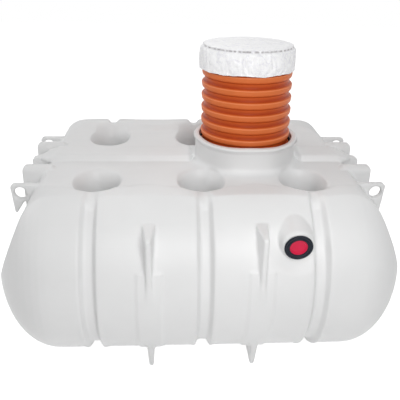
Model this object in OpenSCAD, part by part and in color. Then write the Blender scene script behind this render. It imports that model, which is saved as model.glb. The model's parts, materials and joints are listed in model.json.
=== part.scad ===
// Low-profile underground septic tank: a rotomoulded tank lying on its flat floor,
// with six kiss-off columns, three ring grooves, an access neck and a corrugated riser.
// X runs along the tank, -Y is the inlet side, Z = 0 is the ground.

/* [Tank body] */
// Radius of the rounded long sides
side_r = 514; // [500:1:540]
// Distance of each side radius centre from the tank centre line
side_c = 488; // [486:1:540]
// Height of the flat deck between the columns
deck_z = 950; // [930:1:965]
// Half width of the flat deck
deck_half = 470; // [450:1:480]
// Height of the crowns along both sides
crown_z = 990; // [980:1:1000]
// Half width at which the crowns start
crown_half = 535; // [520:1:560]
// Half length of the straight barrel
barrel_half = 790; // [770:1:900]
// Depth of each domed end
head_depth = 340; // [300:1:400]
// Height at which the sloped end wall starts
end_knee_z = 440; // [380:1:500]
// How far the sloped end wall leans in at deck height
end_lean = 210; // [160:1:250]
// Edge radius between the crown and the end wall
end_edge_r = 180; // [120:1:200]
// Wall thickness of the moulding
wall = 10; // [7:0.5:14]

/* [Ring grooves] */
// Distance of the outer ring grooves from the end of the barrel
end_bay = 200; // [190:1:215]
// Width of a groove at the surface
groove_w = 86; // [70:1:100]
// Width of a groove at its floor
groove_floor_w = 46; // [30:1:60]
// Depth of a groove
groove_depth = 47; // [30:1:50]
// Angle above the underside at which a groove ends
groove_start = 14; // [8:1:25]

/* [Columns] */
// Distance of each column row from the centre line
col_y = 380; // [372:1:384]
// Radius of a column at the floor
col_foot_r = 92; // [80:1:94]
// Radius of a column where its mouth starts to flare
col_r = 136; // [120:1:140]
// Width of the flared mouth
flare_r = 106; // [80:1:110]
// Height of the flared mouth
flare_h = 130; // [110:1:150]

/* [Deck ribs] */
// Width of the centre rib
rib_w = 64; // [50:1:90]
// Height of the ribs above the deck
rib_h = 25; // [15:1:40]
// Distance of the centre rib's end from the tip of the tank
rib_inset = 96; // [80:1:120]
// Distance of each end rib from the centre line
end_rib_y = 206; // [190:1:225]
// Thickness of an end rib
end_rib_w = 88; // [70:1:110]
// Distance of the end ribs' outer face from the tip of the tank
end_rib_inset = 85; // [70:1:100]
// Length of an end rib on top of the deck
end_rib_run = 190; // [160:1:220]
// Length of an end rib down its outer face
end_rib_drop = 480; // [440:1:500]

/* [Lifting lugs] */
// Distance of each lug from the centre line
lug_y = 415; // [400:1:430]
// Thickness of a lug
lug_t = 42; // [30:1:60]
// Distance of the lugs' outer edge from the tip of the tank
lug_inset = 60; // [40:1:70]
// Height of the top of the lugs
lug_z = 941; // [925:1:945]
// Height of a lug at its outer edge
lug_h = 180; // [160:1:200]
// Radius of the lifting eye
eye_r = 35; // [20:1:38]
// Distance of the eye centre from the outer edge and the top
eye_inset = 54; // [50:1:58]

/* [Feet] */
// How far each foot sits nearer the middle than the bay's centre
foot_shift = 10; // [0:1:30]
// Thickness of a foot where it leaves the side
foot_root_t = 68; // [60:1:90]
// Thickness of a foot along its front edge
foot_t = 26; // [20:1:35]
// Thickness of a foot at its toe
toe_t = 28; // [20:1:40]
// How far the feet stand out beyond the side
foot_out = 10; // [6:1:40]
// Height of the top of the feet
foot_top = 896; // [860:1:910]
// Distance of a foot's toe from the side radius centre
toe_out = 362; // [340:1:380]
// Height of the slanted toe
toe_h = 175; // [120:1:220]
// Width of the thickened pad round a foot
pad_w = 122; // [100:1:160]
// Thickness of the pad
pad_t = 8; // [5:1:9]
// Angle above the side's centre at which the pad ends
pad_top_a = 20; // [10:1:30]

/* [Neck] */
// Outer radius of the neck
neck_r = 311; // [305:1:313]
// Inner radius of the neck
neck_bore_r = 287; // [285:1:292]
// Height of the neck rim
neck_top = 1099; // [1060:1:1140]
// Radius by which the rim stands out
rim_out = 12; // [6:1:18]
// Height of the rim
rim_h = 26; // [20:1:45]
// Fillet between neck and deck
neck_fillet = 34; // [20:1:40]

/* [Riser] */
// Outer radius of the riser on a corrugation crest
riser_r = 280; // [270:1:282]
// Depth of a corrugation
riser_wave = 18; // [10:1:22]
// Distance from crest to crest
riser_pitch = 83.5; // [80:0.5:90]
// Length of a crest
riser_crest = 50; // [40:1:60]
// Length of a corrugation's flank
riser_flank = 11; // [8:1:14]
// Thickness from the smooth bore to a corrugation's valley
riser_wall = 10; // [6:0.5:14]
// Number of corrugations
riser_n = 8; // [6:1:9]
// Height of the riser's lower end above the deck
riser_foot = 2; // [0:1:20]
// Height of the rubber seal between neck and riser
seal_h = 40; // [25:1:60]

/* [Cover] */
// Thickness of the cover over the riser
cover_t = 5; // [3:0.5:8]
// How far the cover hangs down the riser
cover_drop = 144; // [100:1:160]
// Radius of the cover's top edge
cover_edge_r = 26; // [15:1:40]
// Gap between the riser and the cover
cover_gap = 1; // [0.5:0.5:3]

/* [Pipe sockets] */
// Distance of the inlet from the end groove
inlet_inset = 133; // [131:1:160]
// Height of the pipe axis
inlet_z = 822; // [800:1:826]
// Radius of the moulded boss
boss_r = 78; // [74:1:78]
// How far the flat boss face stands back from the side's widest point
boss_back = 45; // [30:1:50]
// Half width of the patch of wall moulded with the boss
patch_half = 79; // [79:1:80]
// Half angle of that patch round the side
patch_a = 14; // [13:0.5:16]
// Radius of the hole in the boss
socket_r = 64; // [58:1:68]
// Radius of the seal's collar
seal_r = 72; // [70:1:73]
// Thickness of the seal's collar
seal_t = 7; // [5:1:12]
// Depth of the seal in the boss
seal_depth = 42; // [30:1:50]
// Radius of the transport plug
plug_r = 49; // [44:1:54]
// Wall of the transport plug
plug_t = 4; // [2:0.5:5]

/* [Hidden] */
$fn = 96;
side_n = 288;                                 // facets of the long sides in a mesh
arc_n = 14;                                   // segments of a quarter ellipse
far = 3000;                                   // reach of the cutting solids
bay = barrel_half - end_bay;                  // from one ring groove to the next
tip_x = barrel_half + head_depth;             // tip of a domed end
side_y = side_c + side_r;                     // widest point of the side
end_a = atan(end_lean / (deck_z - end_knee_z)); // lean of the end wall
edge_x = tip_x - end_lean - (crown_z - deck_z) * tan(end_a)
    - end_edge_r * (1 - sin(end_a)) / cos(end_a);
neck_x = bay / 2;
foot_x = bay / 2 - foot_shift;
inlet_x = bay - inlet_inset;
boss_face = side_y - boss_back;
riser_bottom = deck_z + riser_foot;
riser_top = riser_bottom + riser_n * riser_pitch + riser_pitch - riser_crest;
cover_r = riser_r + cover_gap + cover_t;
cover_top = riser_top + cover_gap + cover_t;
groove_k = (groove_w - groove_floor_w) / 2 / groove_depth; // flare of a groove side
groove_s = sqrt(1 + groove_k * groove_k);
flare_z = crown_z + 1 - flare_h;              // where a column's mouth starts to flare
mouth_r = col_r + flare_r * (1 - cos(asin((deck_z - flare_z) / flare_h))); // mouth at deck height
port_a = asin((inlet_z - side_r) / side_r);   // pipe axis seen from the side's centre

// ---- tank outline -------------------------------------------------------

// Cross-section under the deck and crowns, lowered by d
module under_top(d) {
    polygon([[-far, -1], [far, -1], [far, crown_z - d], [crown_half, crown_z - d], [deck_half, deck_z - d],
        [-deck_half, deck_z - d], [-crown_half, crown_z - d], [-far, crown_z - d]]);
}

// Cross-section of the tank, shrunk by d on every side
module section(d) {
    intersection() {
        union() {
            for (s = [-1, 1]) translate([s * side_c, side_r]) circle(r = side_r - d, $fn = side_n);
            translate([-side_c, d]) square([2 * side_c, 2 * (side_r - d)]);
        }
        under_top(d);
    }
}

// Draws a cross-section out along X over a length of 2 * half
module along(half) {
    translate([-half, 0, 0]) rotate([90, 0, 90]) linear_extrude(2 * half) children();
}

// Side view of a domed end: an ellipse of depth a and radius r
function bulge(a, r) = [for (i = [-arc_n:arc_n]) [a * cos(90 * i / arc_n), r * sin(90 * i / arc_n)]];
function half_bulge(a, r) = concat([[0, 0]], [for (i = [0:arc_n]) [r * cos(90 * i / arc_n), a * sin(90 * i / arc_n)]]);

// Limit of the end in side view: crown, rounded edge and leaning wall
function end_limit(d) = concat(
    [[barrel_half, -far], [edge_x + (end_edge_r - d) * cos(end_a) + far * sin(end_a), crown_z - end_edge_r + (end_edge_r - d) * sin(end_a) - far * cos(end_a)]],
    [for (i = [0:8]) let (t = end_a + (90 - end_a) * i / 8) [edge_x + (end_edge_r - d) * cos(t), crown_z - end_edge_r + (end_edge_r - d) * sin(t)]],
    [[barrel_half, crown_z - d]]);

// Solid of the domed end at +X, shrunk by d
module end_solid(d) {
    intersection() {
        translate([barrel_half, 0, side_r]) {
            for (s = [0, 1]) mirror([0, s, 0]) translate([0, side_c, 0])
                rotate([0, 90, 0]) rotate_extrude(angle = 180) polygon(half_bulge(head_depth - d, side_r - d));
            translate([0, side_c, 0]) rotate([90, 0, 0]) linear_extrude(2 * side_c) polygon(bulge(head_depth - d, side_r - d));
        }
        translate([0, far / 2, 0]) rotate([90, 0, 0]) linear_extrude(far) polygon(end_limit(d));
        along(far) under_top(d);
    }
}

// Places its children on the axis of a long side; s = 0 is the rear
module on_side(s) {
    mirror([0, s, 0]) translate([0, side_c, side_r]) rotate([0, 90, 0]) children();
}

// Groove profile as [radius, x], grown by d on both flanks and on the floor
function groove_profile(d, r1 = side_r + 30) = let (
    r0 = side_r - groove_depth - d,
    h0 = groove_floor_w / 2 + d * (groove_s - groove_k),
    h1 = h0 + (r1 - r0) * groove_k)
    [[r0, -h0], [r0, h0], [r1, h1], [r1, -h1]];

// Ring grooves of one side, from the underside up over the crown
module grooves(s, d, start) {
    for (i = [-1:1]) translate([i * bay, 0, 0]) on_side(s) rotate([0, 0, start])
        rotate_extrude(angle = 180 - start) polygon(groove_profile(d));
}

// Inner outline of a column, grown by d: a slow taper and a flared mouth
function col_curve(d) = concat([[col_foot_r + d, 0]],
    [for (i = [0:8]) let (t = 90 * i / 8) [col_r + flare_r - (flare_r - d) * cos(t), flare_z + (flare_h - d) * sin(t)]]);

// Solid of revolution inside a column, grown by d
module column_core(ix, y, d) {
    translate([ix * bay, y, 0]) rotate_extrude()
        polygon(concat([[0, -1], [col_foot_r + d, -1]], col_curve(d), [[col_r + flare_r, far / 2], [0, far / 2]]));
}

// All columns of the side with the sign sy
module column_cores(sy, d) {
    for (ix = [-1:1]) column_core(ix, sy * col_y, d);
}

// Places its children at the inlet and, turned half round, at the outlet
module at_port(turn) {
    rotate([0, 0, turn]) translate([inlet_x, -boss_face, inlet_z]) rotate([90, 0, 0]) children();
}

// ---- shell --------------------------------------------------------------

// Long side above the floor's edge: one revolved wall whose grooves push it inwards
module side(s) {
    color("whitesmoke") difference() {
        intersection() {
            difference() {
                translate([-barrel_half, 0, 0]) on_side(s) rotate([0, 0, groove_start])
                    rotate_extrude(angle = 180 - groove_start, $fn = side_n) square([side_r, 2 * barrel_half]);
                difference() {
                    translate([-barrel_half - 1, 0, 0]) on_side(s) rotate_extrude($fn = side_n)
                        square([side_r - wall, 2 * barrel_half + 2]);
                    grooves(s, wall, groove_start - 2);
                }
                grooves(s, 0, groove_start);
            }
            along(barrel_half) under_top(wall);
        }
        column_cores(s == 1 ? -1 : 1, wall);
        port_patch(s, side_r - 2 * wall, 4 * wall);
    }
}

// Sector of the side round a pipe hole, t thick from radius r outwards
module port_patch(s, r, t) {
    translate([(s == 1 ? 1 : -1) * inlet_x - patch_half, 0, 0]) on_side(s) rotate([0, 0, 90 + port_a - patch_a])
        rotate_extrude(angle = 2 * patch_a, $fn = side_n) translate([r, 0]) square([t, 2 * patch_half]);
}

// Flat floor with its turned-up edges and the walls that close the grooves' lower ends
module floor_pan() {
    color("whitesmoke") difference() {
        union() {
            along(barrel_half) intersection() {
                difference() {
                    section(0);
                    section(wall);
                }
                polygon([[-side_c, side_r], [side_c, side_r], [side_c + far * sin(groove_start), side_r - far * cos(groove_start)],
                    [-side_c - far * sin(groove_start), side_r - far * cos(groove_start)]]);
            }
            for (s = [0, 1], i = [-1:1]) translate([i * bay, 0, 0]) on_side(s) rotate([0, 0, groove_start - 2])
                rotate_extrude(angle = 2) polygon(groove_profile(wall, side_r - wall / 2));
        }
        for (sy = [-1, 1]) column_cores(sy, wall);
    }
}

module deck() {
    color("whitesmoke") difference() {
        along(barrel_half) difference() {
            section(0);
            under_top(wall);
        }
        for (s = [0, 1]) grooves(s, 0, groove_start);
        for (sy = [-1, 1]) column_cores(sy, wall);
        translate([neck_x, 0, 0]) cylinder(r = neck_bore_r, h = far);
    }
}

module end_shell() {
    color("whitesmoke") difference() {
        end_solid(0);
        end_solid(wall);
    }
}

// Places its children at one end (sx) and side (sy)
module corner(sx, sy) {
    mirror([sx < 0 ? 1 : 0, 0, 0]) mirror([0, sy < 0 ? 1 : 0, 0]) children();
}

// Tapered column that runs from the floor to its flared mouth in the deck
module column(ix, sy) {
    color("whitesmoke") difference() {
        intersection() {
            difference() {
                column_core(ix, sy * col_y, wall);
                column_core(ix, sy * col_y, 0);
            }
            along(barrel_half) under_top(0);
            translate([-far / 2, -far / 2, 0]) cube([far, far, far]);
        }
        grooves(sy < 0 ? 1 : 0, 0, groove_start);
    }
}

// ---- ribs, lugs and feet ------------------------------------------------

// Plate in the XZ plane, w thick, centred on y
module plate(pts, y, w) {
    translate([0, y + w / 2, 0]) rotate([90, 0, 0]) linear_extrude(w) polygon(pts);
}

module deck_rib(sx) {
    top = deck_z + rib_h;
    reach = tip_x - rib_inset;
    color("whitesmoke") difference() {
        mirror([sx < 0 ? 1 : 0, 0, 0]) plate([[0, end_knee_z], [0, top], [tip_x - end_lean - 2 * rib_h, top],
            [reach - 8, top - 1.2 * rib_h], [reach, top - 1.6 * rib_h], [reach, end_knee_z]], 0, rib_w);
        along(barrel_half) under_top(0);
        mirror([sx < 0 ? 1 : 0, 0, 0]) end_solid(0);
        translate([neck_x, 0, 0]) neck_outer();
        translate([sx > 0 ? -far + neck_x : neck_x, -far / 2, 0]) cube([far, far, far]);
    }
}

module end_rib(sx, sy) {
    top = deck_z + rib_h - 1;
    r = end_rib_w / 2;
    reach = tip_x - end_rib_inset;
    x0 = reach - end_rib_run;
    color("whitesmoke") corner(sx, sy) difference() {
        intersection() {
            plate([[x0, deck_z - 1], [x0 + rib_h, top], [reach - 16, top], [reach, top - 16],
                [reach, top - end_rib_drop], [x0, top - end_rib_drop]], end_rib_y, end_rib_w);
            union() {
                translate([0, end_rib_y, top - r]) rotate([0, 90, 0]) cylinder(r = r, h = far);
                translate([0, end_rib_y - r, 0]) cube([far, end_rib_w, top - r]);
            }
        }
        end_solid(0);
    }
}

module lug(sx, sy) {
    reach = tip_x - lug_inset;
    low = lug_z - lug_h;
    x0 = tip_x - end_lean - lug_t;
    color("whitesmoke") corner(sx, sy) difference() {
        plate([[x0, lug_z], [reach - 14, lug_z], [reach, lug_z - 14], [reach - 12, low + 12], [reach - 22, low],
            [reach - 1.3 * eye_inset, low + 0.41 * lug_h], [reach - 2 * eye_inset, low + 0.43 * lug_h], [x0, low + 0.43 * lug_h]],
            lug_y, lug_t);
        translate([reach - eye_inset, lug_y + far / 2, lug_z - eye_inset]) rotate([90, 0, 0]) cylinder(r = eye_r, h = far);
        end_solid(0);
    }
}

module foot(sx, sy) {
    reach = side_y + foot_out;
    root = side_c + 0.66 * side_r;
    w = foot_root_t / 2;
    color("whitesmoke") corner(sx, sy) {
        difference() {
            intersection() {
                translate([foot_x - w, 0, 0]) rotate([90, 0, 90]) linear_extrude(2 * w)
                    polygon([[side_c + toe_out / 2, 0], [side_c + toe_out, 0], [side_c + toe_out + 0.28 * toe_h, toe_h],
                        [reach - 4, side_r - 40], [reach, side_r + 40], [reach, foot_top - 12], [reach - 10, foot_top],
                        [side_c + toe_out / 2, foot_top]]);
                translate([foot_x, 0, -1]) linear_extrude(far)
                    polygon([[-w, 0], [w, 0], [w, root], [foot_t / 2, reach], [-foot_t / 2, reach], [-w, root]]);
                translate([foot_x, far, 0]) rotate([90, 0, 0]) linear_extrude(far)
                    polygon([[-toe_t / 2, 0], [toe_t / 2, 0], [w, side_r], [w, far], [-w, far], [-w, side_r]]);
            }
            translate([0, side_c, side_r]) rotate([0, 90, 0]) cylinder(r = side_r, h = far, center = true);
        }
        translate([foot_x - pad_w / 2, side_c, side_r]) rotate([90, 0, 90]) linear_extrude(pad_w) intersection() {
            difference() {
                circle(r = side_r + pad_t);
                circle(r = side_r);
            }
            polygon([[0, 0], far * [cos(pad_top_a), sin(pad_top_a)], [far, -far], far * [cos(70), -sin(70)]]);
        }
    }
}

// ---- neck, riser and cover ----------------------------------------------

// Solid outline of the neck with its fillet and rim
module neck_outer() {
    rotate_extrude() polygon(concat(
        [[0, deck_z]],
        [for (i = [0:6]) let (t = 90 * i / 6) [neck_r + neck_fillet * (1 - sin(t)), deck_z + neck_fillet * (1 - cos(t))]],
        [[neck_r, neck_top - rim_h]],
        [for (i = [0:6]) let (t = -90 + 180 * i / 6) [neck_r + rim_out * cos(t), neck_top - rim_h / 2 + rim_h / 2 * sin(t)]],
        [[0, neck_top]]));
}

module neck() {
    color("whitesmoke") difference() {
        translate([neck_x, 0, 0]) neck_outer();
        translate([neck_x, 0, deck_z - 1]) cylinder(r = neck_bore_r, h = far);
        for (ix = [0, 1], sy = [-1, 1]) translate([ix * bay, sy * col_y, deck_z - 1]) cylinder(r = mouth_r, h = neck_fillet + 2);
    }
}

// Corrugated outline of the riser with a smooth bore
module riser() {
    v = riser_pitch - riser_crest;
    color([0.90, 0.45, 0.24]) translate([neck_x, 0, 0]) rotate_extrude() polygon(concat(
        [[riser_r - riser_wave - riser_wall, riser_bottom], [riser_r - riser_wave, riser_bottom]],
        [for (i = [0:riser_n - 1]) let (z = riser_bottom + i * riser_pitch + v / 2)
            each [[riser_r - riser_wave, z], [riser_r, z + riser_flank],
                [riser_r, z + riser_crest - riser_flank], [riser_r - riser_wave, z + riser_crest]]],
        [[riser_r - riser_wave, riser_top], [riser_r - riser_wave - riser_wall, riser_top]]));
}

module neck_seal() {
    color("dimgray") translate([neck_x, 0, neck_top - rim_h - seal_h]) difference() {
        cylinder(r = neck_bore_r, h = seal_h);
        translate([0, 0, -1]) cylinder(r = riser_r, h = seal_h + 2);
    }
}

module cover() {
    hem = cover_top - cover_drop;
    function edge(r) = [for (i = [0:6]) let (t = 90 * i / 6)
        [cover_r - cover_edge_r + r * cos(t), cover_top - cover_edge_r + r * sin(t)]];
    in_edge = edge(cover_edge_r - cover_t);
    color("white") translate([neck_x, 0, 0]) rotate_extrude()
        polygon(concat([[cover_r, hem]], edge(cover_edge_r), [[0, cover_top], [0, cover_top - cover_t]],
            [for (i = [6:-1:0]) in_edge[i]], [[cover_r - cover_t, hem]]));
}

// ---- pipe sockets -------------------------------------------------------

module boss(turn) {
    s = turn == 0 ? 1 : 0;
    color("whitesmoke") difference() {
        union() {
            difference() {
                at_port(turn) translate([0, 0, -boss_face / 3]) cylinder(r = boss_r, h = boss_face / 3);
                on_side(s) cylinder(r = side_r - wall / 2, h = far, center = true, $fn = side_n);
            }
            port_patch(s, side_r - wall, wall);
        }
        at_port(turn) translate([0, 0, -boss_face / 2]) cylinder(r = socket_r, h = boss_face);
    }
}

module pipe_seal(turn) {
    color([0.10, 0.11, 0.16]) at_port(turn) rotate_extrude()
        polygon([[plug_r, -seal_depth], [socket_r, -seal_depth], [socket_r, 0], [seal_r, 0],
            [seal_r, seal_t - 2], [seal_r - 2, seal_t], [plug_r + 2, seal_t], [plug_r, seal_t - 2]]);
}

module plug(turn) {
    color([0.72, 0.09, 0.20]) at_port(turn) rotate_extrude()
        polygon([[0, 0], [plug_r - 3 * plug_t, 0], [plug_r - 2 * plug_t, seal_t - 3], [plug_r - 1, seal_t - 3], [plug_r, seal_t - 4],
            [plug_r, -seal_depth / 2], [plug_r - plug_t, -seal_depth / 2], [plug_r - plug_t, -plug_t], [0, -plug_t]]);
}

// ---- nodes --------------------------------------------------------------

side(1);  // side_front
side(0);  // side_rear
floor_pan();  // floor
deck();
mirror([1, 0, 0]) end_shell();  // end_left
end_shell();  // end_right
column(-1, -1);  // column_front_left
column(0, -1);  // column_front_mid
column(1, -1);  // column_front_right
column(-1, 1);  // column_rear_left
column(0, 1);  // column_rear_mid
column(1, 1);  // column_rear_right
deck_rib(-1);  // deck_rib_left
deck_rib(1);  // deck_rib_right
end_rib(-1, -1);  // end_rib_front_left
end_rib(1, -1);  // end_rib_front_right
end_rib(-1, 1);  // end_rib_rear_left
end_rib(1, 1);  // end_rib_rear_right
lug(-1, -1);  // lug_front_left
lug(1, -1);  // lug_front_right
lug(-1, 1);  // lug_rear_left
lug(1, 1);  // lug_rear_right
foot(-1, -1);  // foot_front_left
foot(1, -1);  // foot_front_right
foot(-1, 1);  // foot_rear_left
foot(1, 1);  // foot_rear_right
neck();
neck_seal();
riser();
cover();
boss(0);  // inlet_boss
pipe_seal(0);  // inlet_seal
plug(0);  // inlet_plug
boss(180);  // outlet_boss
pipe_seal(180);  // outlet_seal
plug(180);  // outlet_plug
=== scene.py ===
import bpy, bmesh, json, math
from mathutils import Matrix, Vector, noise

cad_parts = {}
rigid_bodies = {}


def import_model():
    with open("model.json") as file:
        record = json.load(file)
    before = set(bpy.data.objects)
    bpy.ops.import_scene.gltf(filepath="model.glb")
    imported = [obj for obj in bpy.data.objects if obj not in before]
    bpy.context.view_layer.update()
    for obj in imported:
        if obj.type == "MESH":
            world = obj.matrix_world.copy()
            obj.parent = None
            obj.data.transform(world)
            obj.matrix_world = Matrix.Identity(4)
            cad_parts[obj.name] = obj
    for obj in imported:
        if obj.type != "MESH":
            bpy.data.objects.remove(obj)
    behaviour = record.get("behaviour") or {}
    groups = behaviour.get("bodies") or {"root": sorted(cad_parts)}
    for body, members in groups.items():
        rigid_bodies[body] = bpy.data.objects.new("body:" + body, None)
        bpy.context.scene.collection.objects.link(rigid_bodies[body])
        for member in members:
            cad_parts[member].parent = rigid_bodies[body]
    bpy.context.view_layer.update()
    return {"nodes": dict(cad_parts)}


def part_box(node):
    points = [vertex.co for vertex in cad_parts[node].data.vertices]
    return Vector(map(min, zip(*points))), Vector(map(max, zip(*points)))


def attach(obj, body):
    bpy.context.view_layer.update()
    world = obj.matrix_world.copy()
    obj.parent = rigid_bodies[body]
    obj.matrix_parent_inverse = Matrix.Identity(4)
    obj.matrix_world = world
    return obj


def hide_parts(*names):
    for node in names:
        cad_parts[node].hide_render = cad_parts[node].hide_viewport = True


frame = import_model()

# Camera: a standing person's view of the inlet side, a little to the left of the
# middle and looking down on the deck.
camera_lens = bpy.data.cameras.new("camera")
camera_lens.sensor_width = 36.0
camera_lens.lens = 49.18
camera = bpy.data.objects.new("camera", camera_lens)
camera.matrix_world = (Matrix.Translation((-0.1822, -3.2756, 2.1624))
                       @ Matrix.Rotation(-0.062, 4, "Z")
                       @ Matrix.Rotation(math.pi / 2 - 0.434, 4, "X")
                       @ Matrix.Rotation(0.022, 4, "Z"))
bpy.context.collection.objects.link(camera)
bpy.context.scene.camera = camera

# Studio: a soft lamp before the tank, softer ones to its left, right, rear and top, and
# a white world whose weak light fills the shade. Only what looks straight at the world,
# or sees it in gloss or through glass, gets the plain white of the backdrop.
bpy.context.scene.view_settings.view_transform = "Standard"
world = bpy.data.worlds.new("studio_fill")
bpy.context.scene.world = world
world.use_nodes = True
world_nodes = world.node_tree.nodes
world_links = world.node_tree.links
world_nodes.clear()
fill = world_nodes.new("ShaderNodeBackground")
fill.inputs["Color"].default_value = (1.0, 1.0, 1.0, 1.0)
fill.inputs["Strength"].default_value = 0.34
shown = world_nodes.new("ShaderNodeBackground")
shown.inputs["Color"].default_value = (1.0, 1.0, 1.0, 1.0)
rays = world_nodes.new("ShaderNodeLightPath")
choose = world_nodes.new("ShaderNodeMixShader")
world_out = world_nodes.new("ShaderNodeOutputWorld")
camera_or_gloss = world_nodes.new("ShaderNodeMath")
camera_or_gloss.operation = "MAXIMUM"
clear_view = world_nodes.new("ShaderNodeMath")
clear_view.operation = "MAXIMUM"
world_links.new(rays.outputs["Is Camera Ray"], camera_or_gloss.inputs[0])
world_links.new(rays.outputs["Is Glossy Ray"], camera_or_gloss.inputs[1])
world_links.new(camera_or_gloss.outputs[0], clear_view.inputs[0])
world_links.new(rays.outputs["Is Transmission Ray"], clear_view.inputs[1])
world_links.new(clear_view.outputs[0], choose.inputs[0])
world_links.new(fill.outputs[0], choose.inputs[1])
world_links.new(shown.outputs[0], choose.inputs[2])
world_links.new(choose.outputs[0], world_out.inputs["Surface"])
for name, place, size, power in (("front_softbox", (0.35, -3.10, 2.50), 1.4, 44.0),
                                 ("left_softbox", (-4.03, 0.71, 3.47), 2.5, 42.0),
                                 ("right_softbox", (4.03, 0.71, 3.47), 2.5, 9.0),
                                 ("back_softbox", (0.0, 3.54, 4.14), 2.5, 22.0),
                                 ("top_softbox", (0.0, -0.87, 5.52), 3.0, 17.0)):
    lamp = bpy.data.lights.new(name, "AREA")
    lamp.shape = "DISK"
    lamp.size = size
    lamp.energy = power
    softbox = bpy.data.objects.new(name, lamp)
    softbox.location = place
    aim = Vector((0.0, 0.0, 0.6)) - Vector(place)
    softbox.rotation_euler = aim.to_track_quat("-Z", "Y").to_euler()
    bpy.context.collection.objects.link(softbox)

# Floor: a wide white sheet that keeps the tank's soft shadow. Seen straight from the
# camera it glows a little, so that away from the shadow it is as white as the backdrop.
floor_mesh = bmesh.new()
bmesh.ops.create_grid(floor_mesh, x_segments=1, y_segments=1, size=14.0)
floor_data = bpy.data.meshes.new("studio_floor")
floor_mesh.to_mesh(floor_data)
floor_mesh.free()
floor = bpy.data.objects.new("studio_floor", floor_data)
bpy.context.collection.objects.link(floor)
floor_finish = bpy.data.materials.new("studio_floor")
floor_finish.use_nodes = True
floor_nodes = floor_finish.node_tree.nodes
floor_links = floor_finish.node_tree.links
floor_nodes.clear()
floor_paint = floor_nodes.new("ShaderNodeBsdfDiffuse")
floor_paint.inputs["Color"].default_value = (0.95, 0.95, 0.95, 1.0)
floor_glow = floor_nodes.new("ShaderNodeEmission")
floor_rays = floor_nodes.new("ShaderNodeLightPath")
glow_level = floor_nodes.new("ShaderNodeMath")
glow_level.operation = "MULTIPLY"
glow_level.inputs[1].default_value = 0.80
floor_sum = floor_nodes.new("ShaderNodeAddShader")
floor_out = floor_nodes.new("ShaderNodeOutputMaterial")
floor_direct = floor_nodes.new("ShaderNodeMath")
floor_direct.operation = "MAXIMUM"
floor_seen = floor_nodes.new("ShaderNodeMath")
floor_seen.operation = "MAXIMUM"
floor_links.new(floor_rays.outputs["Is Camera Ray"], floor_direct.inputs[0])
floor_links.new(floor_rays.outputs["Is Glossy Ray"], floor_direct.inputs[1])
floor_links.new(floor_direct.outputs[0], floor_seen.inputs[0])
floor_links.new(floor_rays.outputs["Is Transmission Ray"], floor_seen.inputs[1])
floor_links.new(floor_seen.outputs[0], glow_level.inputs[0])
floor_links.new(glow_level.outputs[0], floor_glow.inputs["Strength"])
floor_links.new(floor_paint.outputs[0], floor_sum.inputs[0])
floor_links.new(floor_glow.outputs[0], floor_sum.inputs[1])
floor_links.new(floor_sum.outputs[0], floor_out.inputs["Surface"])
floor_data.materials.append(floor_finish)

# Tank: one hollow white polyethylene moulding, turned in an oven until its wall is about
# 10 mm thick. Sides, floor, deck, ends, columns, ribs, lugs, feet, neck and pipe bosses
# are all one skin, so their outsides are melted together here and the edges rounded.
tank_nodes = ["side_front", "side_rear", "floor", "deck", "end_left", "end_right",
              "column_front_mid", "column_rear_mid", "deck_rib_left", "deck_rib_right",
              "neck", "inlet_boss", "outlet_boss"]
for end in ("left", "right"):
    for row in ("front", "rear"):
        tank_nodes += [f"column_{row}_{end}", f"end_rib_{row}_{end}",
                       f"lug_{row}_{end}", f"foot_{row}_{end}"]
tank_form = bmesh.new()
for name in tank_nodes:
    tank_form.from_mesh(frame["nodes"][name].data)
bmesh.ops.remove_doubles(tank_form, verts=tank_form.verts, dist=0.0002)

# Lids close the neck and both pipe sockets out of sight, behind the riser and the seals,
# so that the skin outside the tank parts from the skin inside it.
neck_low, neck_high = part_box("neck")
neck_x = (neck_low.x + neck_high.x) / 2
deck_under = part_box("deck")[0].z
lids = [(Matrix.Translation((neck_x, 0.0, deck_under + 0.004)), 0.297)]
pipe_z = 0.822
pipes = []
for name, outward in (("inlet", -1.0), ("outlet", 1.0)):
    boss_low, boss_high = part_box(name + "_boss")
    pipe_x = (boss_low.x + boss_high.x) / 2
    boss_face = boss_low.y if outward < 0 else boss_high.y
    pipes.append((name, outward, pipe_x, boss_face))
    lids.append((Matrix.Translation((pipe_x, boss_face - outward * 0.016, pipe_z))
                 @ Matrix.Rotation(math.pi / 2, 4, "X"), 0.070))
for place, reach in lids:
    bmesh.ops.create_cone(tank_form, cap_ends=True, segments=64, radius1=reach, radius2=reach,
                          depth=0.012, matrix=place)
# Each socket stands on a swelling of the shoulder, which the mould drafts towards its face.
swell_depth = 0.300
for name, outward, pipe_x, boss_face in pipes:
    swell_place = (Matrix.Translation((pipe_x, boss_face - outward * (0.022 + swell_depth / 2), pipe_z))
                   @ Matrix.Rotation(-outward * math.pi / 2, 4, "X"))
    bmesh.ops.create_cone(tank_form, cap_ends=True, segments=96, radius1=0.128, radius2=0.084,
                          depth=swell_depth, matrix=swell_place)
melt_size = 0.006
tank_data = bpy.data.meshes.new("tank_moulding")
tank_form.to_mesh(tank_data)
tank_form.free()
tank = bpy.data.objects.new("tank_moulding", tank_data)
bpy.context.collection.objects.link(tank)
bpy.ops.object.select_all(action="DESELECT")
bpy.context.view_layer.objects.active = tank
tank.select_set(True)
melt = tank.modifiers.new("melt", "REMESH")
melt.mode = "VOXEL"
melt.voxel_size = melt_size
bpy.ops.object.modifier_apply(modifier=melt.name)
bpy.ops.object.mode_set(mode="EDIT")
bpy.ops.mesh.select_mode(type="VERT")
bpy.ops.mesh.select_all(action="DESELECT")
bpy.ops.object.mode_set(mode="OBJECT")
top_of_rim = max(tank_data.vertices, key=lambda point: point.co.z)
top_of_rim.select = True
bpy.ops.object.mode_set(mode="EDIT")
bpy.ops.mesh.select_linked()
bpy.ops.mesh.select_all(action="INVERT")
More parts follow.
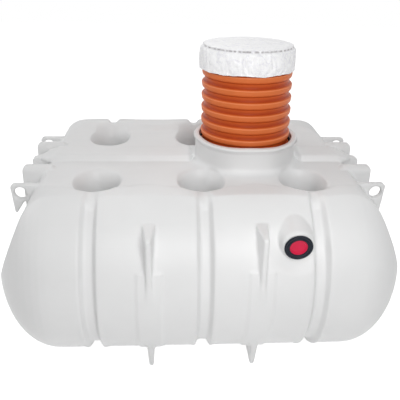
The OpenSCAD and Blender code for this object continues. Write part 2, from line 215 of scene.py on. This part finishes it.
bpy.ops.mesh.delete(type="VERT")
bpy.ops.object.mode_set(mode="OBJECT")

# The column mouths are longer across the tank than along it, the grooves end in a round
# below them, and a broad spine runs along the deck from each end to the neck.
lip_share = tank.vertex_groups.new(name="lips")
mouths = []
for row in ("front", "rear"):
    for part in ("left", "mid", "right"):
        mouth_low, mouth_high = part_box(f"column_{row}_{part}")
        mouths.append((mouth_low + mouth_high) / 2)
side_axis_y = 0.488
side_r = 0.514
side_axis_z = 0.476
deck_z = 0.950
spine_half = 0.092
socket_tip = math.radians(8.0)
spine_rise = 1.75
groove_depth_kept = 0.80
mouth_narrowing = 0.17
rim_push = 0.038
rim_lift = 0.009


def ease(share):
    share = min(1.0, max(0.0, share))
    return share * share * (3.0 - 2.0 * share)


for point in tank_data.vertices:
    x, y, z = point.co
    mouth = min(mouths, key=lambda place: math.hypot(x - place.x, y - place.y))
    along, across = x - mouth.x, y - mouth.y
    away = math.hypot(along, across)
    from_neck = math.hypot(x - neck_x, y)
    if z > 0.90 and from_neck > 0.40:
        share = min(1.0, 2.0 - 2.0 * abs(away - 0.235) / 0.075)
        if share > 0.0:
            lip_share.add([point.index], share, "REPLACE")
    side = math.copysign(1.0, y)
    # Grooves
    if abs(y) > 0.60 and abs(along) < 0.060:
        rise, reach = z - side_axis_z, abs(y) - side_axis_y
        hollow = math.hypot(rise, reach)
        if 0.40 < hollow < side_r - 0.0005 and reach > 0.0:
            turn = math.degrees(math.atan2(rise, reach))
            kept = groove_depth_kept - groove_depth_kept * ease((turn - 62.0) / 9.0)
            filled = side_r - (side_r - hollow) * kept
            y = side * (side_axis_y + reach * filled / hollow)
            z = side_axis_z + rise * filled / hollow
    # Column mouths
    if z > 0.55 and away < 0.34:
        pull = ease((0.34 - away) / 0.12) * ease((z - 0.55) / 0.25)
        x = mouth.x + along * (1.0 - mouth_narrowing * pull)
        y += side * rim_push * pull * ease(0.5 + side * across / 0.30)
    # Spine
    if z > 0.935 and abs(y) < 0.20 and abs(x) < 0.99:
        pull = ease((0.99 - abs(x)) / 0.06) * ease((from_neck - 0.325) / 0.03)
        if abs(y) < 0.032:
            wide = abs(y) * spine_half / 0.032
        else:
            wide = spine_half + (abs(y) - 0.032) * (0.20 - spine_half) / 0.168
        y += side * (wide - abs(y)) * pull
        if z > deck_z:
            z = deck_z + (z - deck_z) * (1.0 + (spine_rise - 1.0) * pull * ease((0.15 - abs(y)) / 0.03))
    # Socket faces, which tip a little towards the ground
    for name, outward, pipe_x, boss_face in pipes:
        off_axis = math.hypot(x - pipe_x, z - pipe_z)
        if off_axis < 0.16 and y * outward > 0.80:
            tip = ease((0.16 - off_axis) / 0.08) * ease((y * outward - 0.80) / 0.14)
            y += outward * tip * (math.tan(socket_tip) * (z - pipe_z) - 0.010)
    if z > 1.0:
        z += rim_lift * ease((z - 1.0) / 0.085)
    point.co = (x, y, z)

soften_lips = tank.modifiers.new("soften_lips", "SMOOTH")
soften_lips.vertex_group = lip_share.name
soften_lips.factor = 0.5
soften_lips.iterations = 60
bpy.ops.object.modifier_apply(modifier=soften_lips.name)
soften = tank.modifiers.new("soften", "SMOOTH")
soften.factor = 0.5
soften.iterations = 8
bpy.ops.object.modifier_apply(modifier=soften.name)
thin_out = tank.modifiers.new("thin_out", "DECIMATE")
triangle_budget = 190000
thin_out.ratio = triangle_budget / (2 * len(tank_data.polygons))
bpy.ops.object.modifier_apply(modifier=thin_out.name)
tank.vertex_groups.clear()
tank_data.polygons.foreach_set("use_smooth", [True] * len(tank_data.polygons))
tank_plastic = bpy.data.materials.new("tank_plastic")
tank_plastic.use_nodes = True
tank_mix = tank_plastic.node_tree.nodes
tank_links = tank_plastic.node_tree.links
tank_shader = tank_mix["Principled BSDF"]
tank_shader.inputs["Roughness"].default_value = 0.46
tank_shader.inputs["IOR"].default_value = 1.5
tank_place = tank_mix.new("ShaderNodeTexCoord")
cloud = tank_mix.new("ShaderNodeTexNoise")
cloud.inputs["Scale"].default_value = 2.6
cloud.inputs["Detail"].default_value = 4.0
milk = tank_mix.new("ShaderNodeValToRGB")
milk.color_ramp.elements[0].position = 0.30
milk.color_ramp.elements[0].color = (0.788, 0.790, 0.790, 1.0)
milk.color_ramp.elements[1].position = 0.72
milk.color_ramp.elements[1].color = (0.828, 0.829, 0.829, 1.0)
grain = tank_mix.new("ShaderNodeTexNoise")
grain.inputs["Scale"].default_value = 260.0
grain.inputs["Detail"].default_value = 3.0
skin_bump = tank_mix.new("ShaderNodeBump")
skin_bump.inputs["Strength"].default_value = 0.10
skin_bump.inputs["Distance"].default_value = 0.0012
tank_links.new(tank_place.outputs["Object"], cloud.inputs["Vector"])
tank_links.new(tank_place.outputs["Object"], grain.inputs["Vector"])
tank_links.new(cloud.outputs["Fac"], milk.inputs["Fac"])
tank_links.new(milk.outputs["Color"], tank_shader.inputs["Base Color"])
tank_links.new(grain.outputs["Fac"], skin_bump.inputs["Height"])
tank_links.new(skin_bump.outputs["Normal"], tank_shader.inputs["Normal"])
tank_data.materials.clear()
tank_data.materials.append(tank_plastic)
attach(tank, "root")
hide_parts(*tank_nodes)

# Riser: an orange polypropylene shaft pipe with rounded rings outside and a smooth bore,
# cut to length and pushed into the neck.
riser_low, riser_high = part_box("riser")
riser_r = (riser_high.x - riser_low.x) / 2
ring_count = 9
ring_pitch = 0.0735
ring_length = 0.047
ring_height = 0.018
first_ring = 0.0005
bore_r = riser_r - ring_height - 0.010
riser_form = bmesh.new()
outline = [riser_form.verts.new((bore_r, 0.0, riser_low.z)),
           riser_form.verts.new((riser_r - ring_height, 0.0, riser_low.z))]
ring_corners = []
for ring in range(ring_count):
    foot_z = riser_low.z + first_ring + ring * ring_pitch
    for out, up in ((ring_height, 0.0), (0.0035, 0.011), (0.0, ring_length - 0.007),
                    (ring_height, ring_length)):
        outline.append(riser_form.verts.new((riser_r - out, 0.0, foot_z + up)))
        ring_corners.append(outline[-1])
outline.append(riser_form.verts.new((riser_r - ring_height, 0.0, riser_high.z)))
outline.append(riser_form.verts.new((bore_r, 0.0, riser_high.z)))
for start, end in zip(outline, outline[1:] + outline[:1]):
    riser_form.edges.new((start, end))
bmesh.ops.bevel(riser_form, geom=ring_corners, offset=0.0060, offset_type="OFFSET", segments=5,
                profile=0.5, affect="VERTICES", material=-1)
bmesh.ops.spin(riser_form, geom=riser_form.verts[:] + riser_form.edges[:], cent=(0.0, 0.0, 0.0),
               axis=(0.0, 0.0, 1.0), angle=2 * math.pi, steps=160, use_merge=True)
bmesh.ops.remove_doubles(riser_form, verts=riser_form.verts, dist=0.00001)
bmesh.ops.recalc_face_normals(riser_form, faces=riser_form.faces)
# It tapers a little upwards and stands a touch out of plumb.
riser_taper = 0.040
riser_lean = -0.010
# Painted shade and painted highlight: each point gets a colour weight that is darker the deeper it lies
# between the rings, and lighter in a thin band just under each ring's top edge.
in_valley = []
for point in riser_form.verts:
    out = math.hypot(point.co.x, point.co.y)
    up = (point.co.z - riser_low.z - first_ring) % ring_pitch
    depth = min(1.0, max(0.0, (riser_r - out) / ring_height))
    if up > ring_length - 0.004:
        depth *= 1.0 - 0.45 * (up - ring_length) / (ring_pitch - ring_length)
    painted_edge_highlight = max(0.0, 1.0 - abs(up - ring_length + 0.0085) / 0.0045)
    in_valley.append(0.25 + 0.75 * depth - 0.25 * painted_edge_highlight)
    rise = (point.co.z - riser_low.z) / (riser_high.z - riser_low.z)
    point.co.x = neck_x + point.co.x * (1.0 - riser_taper * rise) + riser_lean * rise
    point.co.y *= 1.0 - riser_taper * rise
for face in riser_form.faces:
    face.smooth = True
riser_data = bpy.data.meshes.new("riser_pipe")
riser_form.to_mesh(riser_data)
riser_form.free()
valley = riser_data.attributes.new("valley", "FLOAT", "POINT")
valley.data.foreach_set("value", in_valley)
riser = bpy.data.objects.new("riser_pipe", riser_data)
bpy.context.collection.objects.link(riser)
riser_plastic = bpy.data.materials.new("riser_plastic")
riser_plastic.use_nodes = True
riser_nodes = riser_plastic.node_tree.nodes
riser_links = riser_plastic.node_tree.links
riser_shader = riser_nodes["Principled BSDF"]
riser_shader.inputs["Roughness"].default_value = 0.42
riser_shader.inputs["Specular IOR Level"].default_value = 0.20
riser_place = riser_nodes.new("ShaderNodeTexCoord")
flow = riser_nodes.new("ShaderNodeTexNoise")
flow.inputs["Scale"].default_value = 9.0
flow.inputs["Detail"].default_value = 5.0
orange = riser_nodes.new("ShaderNodeValToRGB")
orange.color_ramp.elements[0].position = 0.30
orange.color_ramp.elements[0].color = (0.92, 0.90, 0.88, 1.0)
orange.color_ramp.elements[1].position = 0.75
orange.color_ramp.elements[1].color = (1.0, 1.0, 1.0, 1.0)
riser_links.new(riser_place.outputs["Object"], flow.inputs["Vector"])
riser_links.new(flow.outputs["Fac"], orange.inputs["Fac"])
# The valleys between the rings are painted darker, a painted shade, and a band under each ring's top
# edge is painted lighter, a painted highlight.
valley_depth = riser_nodes.new("ShaderNodeAttribute")
valley_depth.attribute_name = "valley"
orange_and_painted_shade = riser_nodes.new("ShaderNodeValToRGB")
orange_and_painted_shade.color_ramp.elements[0].position = 0.02
orange_and_painted_shade.color_ramp.elements[0].color = (1.0, 0.345, 0.160, 1.0)
orange_and_painted_shade.color_ramp.elements[1].position = 0.95
orange_and_painted_shade.color_ramp.elements[1].color = (0.430, 0.050, 0.006, 1.0)
for stop, tone in ((0.22, (0.80, 0.205, 0.060, 1.0)), (0.40, (0.76, 0.175, 0.045, 1.0)),
                   (0.66, (0.66, 0.120, 0.020, 1.0))):
    orange_and_painted_shade.color_ramp.elements.new(stop).color = tone
tinted = riser_nodes.new("ShaderNodeMix")
tinted.data_type = "RGBA"
tinted.blend_type = "MULTIPLY"
tinted.inputs["Factor"].default_value = 1.0
riser_links.new(valley_depth.outputs["Fac"], orange_and_painted_shade.inputs["Fac"])
riser_links.new(orange_and_painted_shade.outputs["Color"], tinted.inputs["A"])
riser_links.new(orange.outputs["Color"], tinted.inputs["B"])
riser_links.new(tinted.outputs["Result"], riser_shader.inputs["Base Color"])
riser_data.materials.append(riser_plastic)
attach(riser, "root")
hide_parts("riser")

# Neck seal: a black rubber ring squeezed between the riser and the bore of the neck.
neck_rubber = bpy.data.materials.new("neck_rubber")
neck_rubber.use_nodes = True
ring_mix = neck_rubber.node_tree.nodes
ring_shader = ring_mix["Principled BSDF"]
ring_shader.inputs["Roughness"].default_value = 0.6
ring_shader.inputs["Specular IOR Level"].default_value = 0.25
ring_place = ring_mix.new("ShaderNodeTexCoord")
ring_dust = ring_mix.new("ShaderNodeTexNoise")
ring_dust.inputs["Scale"].default_value = 34.0
ring_dust.inputs["Detail"].default_value = 4.0
ring_black = ring_mix.new("ShaderNodeValToRGB")
ring_black.color_ramp.elements[0].position = 0.35
ring_black.color_ramp.elements[0].color = (0.010, 0.010, 0.011, 1.0)
ring_black.color_ramp.elements[1].position = 0.80
ring_black.color_ramp.elements[1].color = (0.045, 0.044, 0.042, 1.0)
neck_rubber.node_tree.links.new(ring_place.outputs["Object"], ring_dust.inputs["Vector"])
neck_rubber.node_tree.links.new(ring_dust.outputs["Fac"], ring_black.inputs["Fac"])
neck_rubber.node_tree.links.new(ring_black.outputs["Color"], ring_shader.inputs["Base Color"])
neck_seal = frame["nodes"]["neck_seal"]
neck_seal.data.materials.clear()
neck_seal.data.materials.append(neck_rubber)

# Bonnet: a thin white film bag pulled over the riser's open top to keep dirt out. It is
# slack, so it puckers along its top edge and creases down to a loose hem.
bonnet_low, bonnet_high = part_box("cover")
bonnet_form = bmesh.new()
bonnet_profile = ((0.0, 0.0), (0.05, 0.0), (0.10, 0.0003), (0.15, 0.0006), (0.195, 0.001),
                  (0.225, 0.0015), (0.243, 0.002), (0.254, 0.003), (0.261, 0.0045),
                  (0.2645, 0.008), (0.2635, 0.012), (0.2615, 0.015),
                  (0.2650, 0.018), (0.2705, 0.022), (0.2735, 0.029), (0.2745, 0.040), (0.2755, 0.052),
                  (0.277, 0.065), (0.2785, 0.080), (0.279, 0.095), (0.2785, 0.108), (0.2775, 0.120),
                  (0.2760, 0.130), (0.2765, 0.138), (0.2775, 0.144))
strand = [bonnet_form.verts.new((out, 0.0, bonnet_high.z - down)) for out, down in bonnet_profile]
for start, end in zip(strand, strand[1:]):
    bonnet_form.edges.new((start, end))
bmesh.ops.subdivide_edges(bonnet_form, edges=bonnet_form.edges[:], cuts=2)
bmesh.ops.spin(bonnet_form, geom=bonnet_form.verts[:] + bonnet_form.edges[:], cent=(0.0, 0.0, 0.0),
               axis=(0.0, 0.0, 1.0), angle=2 * math.pi, steps=300, use_merge=True)
bmesh.ops.remove_doubles(bonnet_form, verts=bonnet_form.verts, dist=0.00001)
bmesh.ops.recalc_face_normals(bonnet_form, faces=bonnet_form.faces)
painted_crease_shadow = []
for point in bonnet_form.verts:
    out = math.hypot(point.co.x, point.co.y)
    if out < 0.001:
        painted_crease_shadow.append(0.0)
        continue
    turn = math.atan2(point.co.y, point.co.x)
    down = bonnet_high.z - point.co.z
    way = Vector((math.cos(turn), math.sin(turn), 0.0))
    around = Vector((math.cos(turn) * 3.0, math.sin(turn) * 3.0, 0.0))
    crumple = abs(noise.noise(Vector((around.x * 4.0, around.y * 4.0, down * 16.0 + 3.0))))
    crumple += 0.5 * abs(noise.noise(Vector((around.x * 9.0, around.y * 9.0, down * 30.0 + 8.0))))
    slack = noise.noise(Vector((around.x * 0.55, around.y * 0.55, down * 5.0)))
    if down > 0.006:
        fold = max(0.0, 0.75 - crumple)
        proud = 0.010 * fold + 0.008 * max(-0.1, slack) * min(1.0, down / 0.06)
        point.co += way * min(1.0, (down - 0.006) / 0.02) * proud
        hem = max(0.0, (down - 0.11) / 0.034)
        point.co.z += 0.005 * hem * noise.noise(around * 0.7) + 0.003 * hem * noise.noise(around * 2.1)
    edge = max(0.0, 1.0 - abs(down - 0.008) / 0.010)
    pucker = noise.noise(Vector((around.x * 5.5, around.y * 5.5, 4.0)))
    point.co += way * 0.007 * edge * max(-0.15, pucker)
    if down < 0.006:
        point.co.z -= 0.0015 * abs(noise.noise(Vector((point.co.x * 14.0, point.co.y * 14.0, 1.7))))
    # Painted shadow: a dark line is given to the film along the fold just under its top edge, stronger
    # or weaker along the edge with the pucker.
    painted_crease_shadow.append(max(0.0, 1.0 - abs(down - 0.0125) / 0.0075) * min(1.0, max(0.0, 0.75 + 1.6 * pucker)))
bmesh.ops.translate(bonnet_form, verts=bonnet_form.verts, vec=(neck_x + riser_lean, 0.0, 0.0))
for face in bonnet_form.faces:
    face.smooth = True
bonnet_data = bpy.data.meshes.new("riser_bonnet")
bonnet_form.to_mesh(bonnet_data)
bonnet_form.free()
crease_shadow_layer = bonnet_data.attributes.new("painted_crease_shadow", "FLOAT", "POINT")
crease_shadow_layer.data.foreach_set("value", painted_crease_shadow)
bonnet = bpy.data.objects.new("riser_bonnet", bonnet_data)
bpy.context.collection.objects.link(bonnet)
film_body = bonnet.modifiers.new("film_body", "SOLIDIFY")
film_body.thickness = 0.0012
film_body.offset = -1.0
cover_film = bpy.data.materials.new("cover_film")
cover_film.use_nodes = True
film_nodes = cover_film.node_tree.nodes
film_links = cover_film.node_tree.links
film_shader = film_nodes["Principled BSDF"]
# Painted light: the film glows faintly white of its own, which lightens it beyond what the lamps give.
film_shader.inputs["Emission Color"].default_value = (1.0, 1.0, 1.0, 1.0)
film_shader.inputs["Emission Strength"].default_value = 0.07
film_shader.inputs["Roughness"].default_value = 0.38
film_place = film_nodes.new("ShaderNodeTexCoord")
crinkle = film_nodes.new("ShaderNodeTexNoise")
crinkle.inputs["Scale"].default_value = 22.0
crinkle.inputs["Detail"].default_value = 4.0
crinkle.inputs["Distortion"].default_value = 1.2
film_bump = film_nodes.new("ShaderNodeBump")
film_bump.inputs["Strength"].default_value = 0.70
film_bump.inputs["Distance"].default_value = 0.010
# Painted shade: grey patches scattered at random through the white film stand in for the shade of its
# small crinkles.
film_shade = film_nodes.new("ShaderNodeTexNoise")
film_shade.inputs["Scale"].default_value = 17.0
film_shade.inputs["Detail"].default_value = 5.0
film_shade.inputs["Roughness"].default_value = 0.65
film_shade.inputs["Distortion"].default_value = 2.2
film_tone = film_nodes.new("ShaderNodeValToRGB")
film_tone.color_ramp.elements[0].position = 0.36
film_tone.color_ramp.elements[0].color = (0.800, 0.795, 0.835, 1.0)
film_tone.color_ramp.elements[1].position = 0.52
film_tone.color_ramp.elements[1].color = (0.950, 0.950, 0.960, 1.0)
# Painted shadow: the crease weight mixes the film's colour towards near-black grey.
film_crease_shadow = film_nodes.new("ShaderNodeAttribute")
film_crease_shadow.attribute_name = "painted_crease_shadow"
film_mix = film_nodes.new("ShaderNodeMix")
film_mix.data_type = "RGBA"
film_mix.inputs["B"].default_value = (0.26, 0.24, 0.25, 1.0)
film_links.new(film_place.outputs["Object"], film_shade.inputs["Vector"])
film_links.new(film_shade.outputs["Fac"], film_tone.inputs["Fac"])
film_links.new(film_crease_shadow.outputs["Fac"], film_mix.inputs["Factor"])
film_links.new(film_tone.outputs["Color"], film_mix.inputs["A"])
film_links.new(film_mix.outputs["Result"], film_shader.inputs["Base Color"])
film_links.new(film_place.outputs["Object"], crinkle.inputs["Vector"])
film_links.new(crinkle.outputs["Fac"], film_bump.inputs["Height"])
film_links.new(film_bump.outputs["Normal"], film_shader.inputs["Normal"])
bonnet_data.materials.append(cover_film)
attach(bonnet, "root")
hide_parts("cover")

# Pipe seals and plugs: a near-black rubber lip seal is pressed into each moulded socket,
# and a crimson plastic cap closes it until the drain pipe is pushed in.
pipe_rubber = bpy.data.materials.new("pipe_rubber")
pipe_rubber.use_nodes = True
rubber_nodes = pipe_rubber.node_tree.nodes
rubber_shader = rubber_nodes["Principled BSDF"]
rubber_shader.inputs["Roughness"].default_value = 0.42
rubber_shader.inputs["Specular IOR Level"].default_value = 0.20
rubber_place = rubber_nodes.new("ShaderNodeTexCoord")
bloom = rubber_nodes.new("ShaderNodeTexNoise")
bloom.inputs["Scale"].default_value = 60.0
dark_rubber = rubber_nodes.new("ShaderNodeValToRGB")
dark_rubber.color_ramp.elements[0].color = (0.004, 0.006, 0.012, 1.0)
dark_rubber.color_ramp.elements[1].color = (0.012, 0.016, 0.028, 1.0)
pipe_rubber.node_tree.links.new(rubber_place.outputs["Object"], bloom.inputs["Vector"])
pipe_rubber.node_tree.links.new(bloom.outputs["Fac"], dark_rubber.inputs["Fac"])
pipe_rubber.node_tree.links.new(dark_rubber.outputs["Color"], rubber_shader.inputs["Base Color"])
plug_plastic = bpy.data.materials.new("plug_plastic")
plug_plastic.use_nodes = True
plug_nodes = plug_plastic.node_tree.nodes
plug_shader = plug_nodes["Principled BSDF"]
plug_shader.inputs["Roughness"].default_value = 0.36
plug_shader.inputs["Specular IOR Level"].default_value = 0.25
plug_place = plug_nodes.new("ShaderNodeTexCoord")
swirl = plug_nodes.new("ShaderNodeTexNoise")
swirl.inputs["Scale"].default_value = 18.0
crimson = plug_nodes.new("ShaderNodeValToRGB")
crimson.color_ramp.elements[0].color = (0.60, 0.004, 0.045, 1.0)
crimson.color_ramp.elements[1].color = (0.70, 0.009, 0.068, 1.0)
plug_plastic.node_tree.links.new(plug_place.outputs["Object"], swirl.inputs["Vector"])
plug_plastic.node_tree.links.new(swirl.outputs["Fac"], crimson.inputs["Fac"])
plug_plastic.node_tree.links.new(crimson.outputs["Color"], plug_shader.inputs["Base Color"])
seal_profile = ((0.0450, -0.040), (0.0635, -0.040), (0.0635, -0.001), (0.0720, -0.001), (0.0720, 0.0050),
                (0.0700, 0.0070), (0.0640, 0.0070), (0.0600, 0.0035), (0.0550, 0.0035), (0.0530, 0.0068),
                (0.0470, 0.0068), (0.0450, 0.0040))
plug_profile = ((0.0, -0.003), (0.020, -0.003), (0.030, -0.002), (0.035, -0.001),
                (0.0365, 0.0005), (0.0375, 0.0035),
                (0.0410, 0.0040), (0.0438, 0.0038), (0.0448, 0.0025), (0.0448, -0.020), (0.0415, -0.020),
                (0.0415, -0.006), (0.0, -0.006))
for name, outward, pipe_x, boss_face in pipes:
    facing = (Matrix.Translation((pipe_x, boss_face - outward * 0.010, pipe_z))
              @ Matrix.Rotation(-outward * math.pi / 2 - outward * socket_tip, 4, "X"))
    for piece, profile, finish, slot, round_by in (
            (name + "_lip_seal", seal_profile, pipe_rubber, "pipe_rubber", 0.0012),
            (name + "_cap", plug_profile, plug_plastic, "plug_plastic", 0.0007)):
        turned = bmesh.new()
        ring = [turned.verts.new((out, 0.0, up)) for out, up in profile]
        for start, end in zip(ring, ring[1:]):
            turned.edges.new((start, end))
        if profile[0][0] > 0:
            turned.edges.new((ring[-1], ring[0]))
        corners = [v for v in ring if v.co.x > 0.001]
        bmesh.ops.bevel(turned, geom=corners, offset=round_by, offset_type="OFFSET", segments=3,
                        profile=0.5, affect="VERTICES", material=-1)
        bmesh.ops.spin(turned, geom=turned.verts[:] + turned.edges[:], cent=(0.0, 0.0, 0.0),
                       axis=(0.0, 0.0, 1.0), angle=2 * math.pi, steps=96, use_merge=True)
        bmesh.ops.remove_doubles(turned, verts=turned.verts, dist=0.00001)
        bmesh.ops.recalc_face_normals(turned, faces=turned.faces)
        bmesh.ops.transform(turned, matrix=facing, verts=turned.verts)
        for face in turned.faces:
            face.smooth = True
        turned_data = bpy.data.meshes.new(piece)
        turned.to_mesh(turned_data)
        turned.free()
        turned_piece = bpy.data.objects.new(piece, turned_data)
        bpy.context.collection.objects.link(turned_piece)
        turned_data.materials.append(finish)
        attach(turned_piece, "root")
        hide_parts(name + ("_seal" if finish is pipe_rubber else "_plug"))
